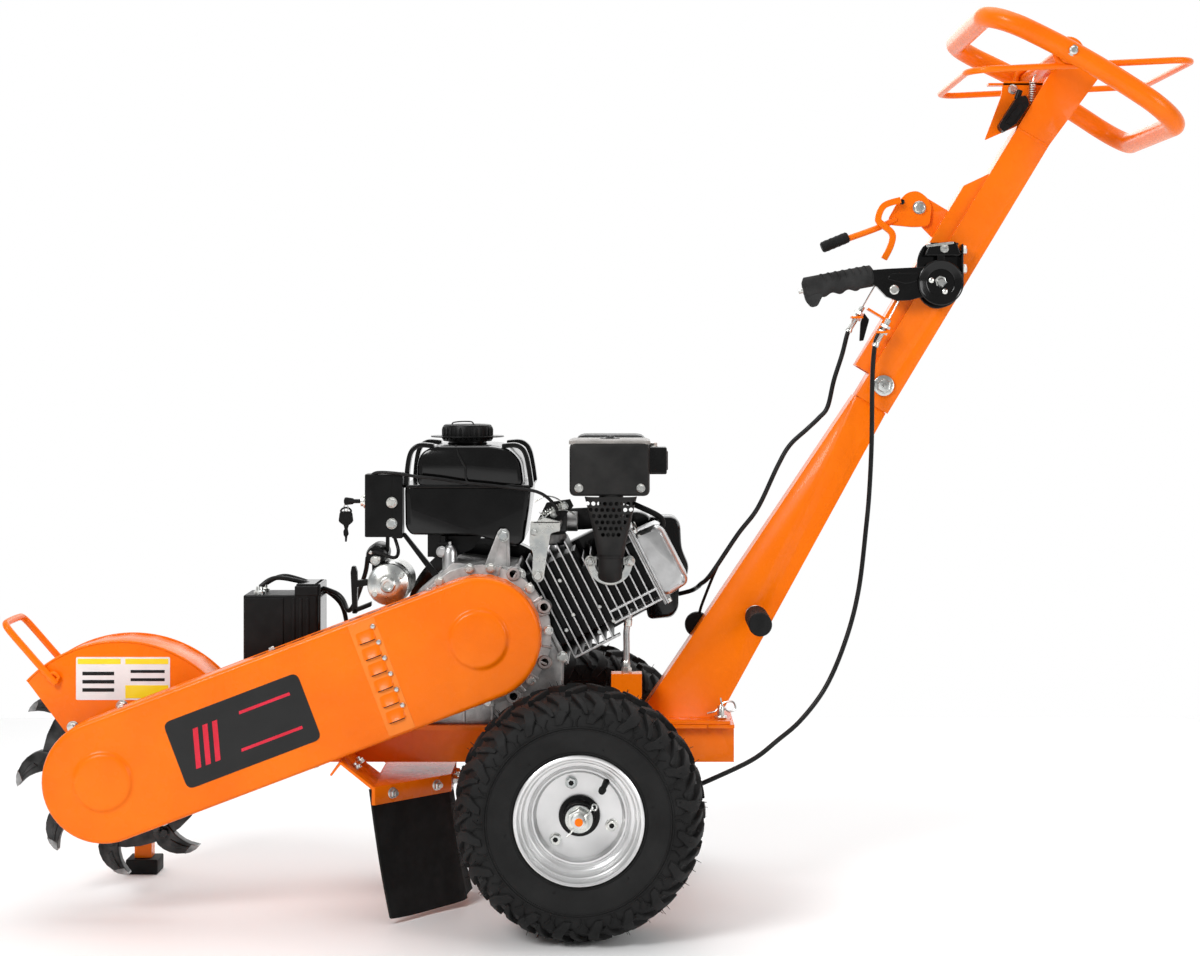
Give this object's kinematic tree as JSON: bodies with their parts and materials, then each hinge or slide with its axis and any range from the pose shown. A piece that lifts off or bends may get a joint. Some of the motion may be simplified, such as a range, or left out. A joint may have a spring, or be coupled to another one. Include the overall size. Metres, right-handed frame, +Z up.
{
  "type": "stump grinder",
  "caption": "Walk-behind stump grinder: toothed cutter wheel under a guard, belt drive, petrol engine, two tyres, folding mast with loop handlebar and hand brake.",
  "frame": {"origin": "middle of the footprint, on the ground", "axes": "+X towards the operator's handlebar, +Y towards the recoil-starter side, +Z up"},
  "size_m": [2.0092, 0.732, 1.5174],
  "materials": {
    "orange_paint": "glossy powder coat",
    "black_paint": "satin black enamel",
    "aluminium": "die cast",
    "silver_paint": "smooth silver enamel",
    "zinc_steel": "bright zinc plated",
    "cast_iron": "dark oxide",
    "black_plastic": "moulded black",
    "rubber": "matt black rubber",
    "tyre": "moulded tyre rubber"
  },
  "bodies": {
    "chassis": {"chassis_beam": "orange_paint", "axle_tube": "orange_paint", "axle_shaft": "zinc_steel", "brake_band": "black_paint", "deflector_plate": "orange_paint", "rubber_flap": "rubber", "cutter_guard": "orange_paint", "lift_handle": "orange_paint", "shaft_bearing_near": "cast_iron", "shaft_bearing_far": "cast_iron", "drive_belt": "rubber", "belt_cover": "orange_paint", "belt_backplate": "orange_paint", "crankcase": "aluminium", "cylinder_block": "aluminium", "valve_cover": "silver_paint", "blower_housing": "black_paint", "starter_motor": "zinc_steel", "muffler": "black_paint", "heat_guard": "black_paint", "fuel_tank": "black_paint", "air_cleaner": "black_plastic", "battery": "black_plastic", "switch_box": "black_plastic", "stand_arm": "orange_paint"},
    "cutter": {"cutter_shaft": "zinc_steel", "cutter_disc": "cast_iron", "cutter_pulley": "cast_iron", "cutter_tooth_1": "cast_iron", "cutter_tooth_2": "cast_iron", "cutter_tooth_3": "cast_iron", "cutter_tooth_4": "cast_iron", "cutter_tooth_5": "cast_iron", "cutter_tooth_6": "cast_iron", "cutter_tooth_7": "cast_iron", "cutter_tooth_8": "cast_iron", "cutter_tooth_9": "cast_iron"},
    "crank": {"engine_pulley": "cast_iron"},
    "recoil": {"recoil_grip": "black_plastic"},
    "cap": {"fuel_cap": "black_plastic"},
    "key": {"ignition_key": "zinc_steel"},
    "near_wheel": {"tyre_near": "tyre", "wheel_near": "silver_paint"},
    "far_wheel": {"tyre_far": "tyre", "wheel_far": "silver_paint"},
    "stand": {"stand_leg": "orange_paint", "stand_foot": "rubber"},
    "mast": {"mast_lower": "orange_paint", "grip_bar": "rubber", "fold_bolt": "zinc_steel"},
    "lock_pin": {"swivel_pin": "zinc_steel"},
    "handle": {"mast_upper": "orange_paint", "handlebar": "orange_paint", "brake_bracket": "black_paint", "brake_cable": "rubber", "throttle_cable": "rubber"},
    "bail_loop": {"bail": "orange_paint"},
    "throttle": {"throttle_lever": "orange_paint"},
    "hand_brake": {"brake_lever": "black_paint"},
    "release_button": {"brake_button": "zinc_steel"}
  },
  "joints": [
    {"name": "near_wheel_spin", "type": "hinge", "parent": "chassis", "child": "near_wheel", "pos_m": [-0.01398, 0, 0.203], "axis": [0, 1, 0], "continuous": true},
    {"name": "far_wheel_spin", "type": "hinge", "parent": "chassis", "child": "far_wheel", "pos_m": [-0.01398, 0, 0.203], "axis": [0, 1, 0], "continuous": true},
    {"name": "cutter_spin", "type": "hinge", "parent": "chassis", "child": "cutter", "pos_m": [-0.80098, 0, 0.235], "axis": [0, 1, 0], "continuous": true},
    {"name": "crank_spin", "type": "hinge", "parent": "chassis", "child": "crank", "pos_m": [-0.18198, 0, 0.47], "axis": [0, 1, 0], "continuous": true},
    {"name": "stand_slide", "type": "slide", "parent": "chassis", "child": "stand", "axis": [0, 0, 1], "range_m": [0, 0.15]},
    {"name": "recoil_pull", "type": "slide", "parent": "chassis", "child": "recoil", "axis": [0.5, 0.3, 0.8124], "range_m": [0, 0.45], "stiffness_N_per_m": 25, "springref_m": -0.1},
    {"name": "fuel_cap_turn", "type": "hinge", "parent": "chassis", "child": "cap", "pos_m": [-0.21398, 0.02, 0.8], "axis": [0, 0, 1], "range_deg": [0, 120]},
    {"name": "key_turn", "type": "hinge", "parent": "chassis", "child": "key", "pos_m": [-0.39398, -0.058, 0.69], "axis": [1, 0, 0], "range_deg": [0, 90]},
    {"name": "mast_swivel", "type": "hinge", "parent": "chassis", "child": "mast", "pos_m": [0.15102, 0, 0.315], "axis": [0, 0, 1], "range_deg": [-20, 20]},
    {"name": "lock_pin_lift", "type": "slide", "parent": "mast", "child": "lock_pin", "axis": [0, 0, 1], "range_m": [0, 0.03]},
    {"name": "mast_fold", "type": "hinge", "parent": "mast", "child": "handle", "pos_m": [0.50252, 0, 0.8868], "axis": [0, 1, 0], "range_deg": [0, 100], "deforming": ["brake_cable", "throttle_cable"]},
    {"name": "bail_squeeze", "type": "hinge", "parent": "handle", "child": "bail_loop", "pos_m": [0.78902, 0, 1.437], "axis": [0, 1, 0], "range_deg": [0, 18], "stiffness_Nm_per_rad": 2, "springref_deg": -20.05},
    {"name": "throttle_turn", "type": "hinge", "parent": "handle", "child": "throttle", "pos_m": [0.56752, 0, 1.1934], "axis": [0, 1, 0], "range_deg": [-5, 40]},
    {"name": "hand_brake_pull", "type": "hinge", "parent": "handle", "child": "hand_brake", "pos_m": [0.59602, 0, 1.062], "axis": [0, 1, 0], "range_deg": [0, 40]},
    {"name": "brake_button_press", "type": "slide", "parent": "hand_brake", "child": "release_button", "axis": [0.9753, 0, 0.2211], "range_m": [0, 0.006], "stiffness_N_per_m": 120, "springref_m": -0.003}
  ],
  "couplings": [
    {"joint": "crank_spin", "follows": "cutter_spin", "ratio": 1.3333}
  ]
}
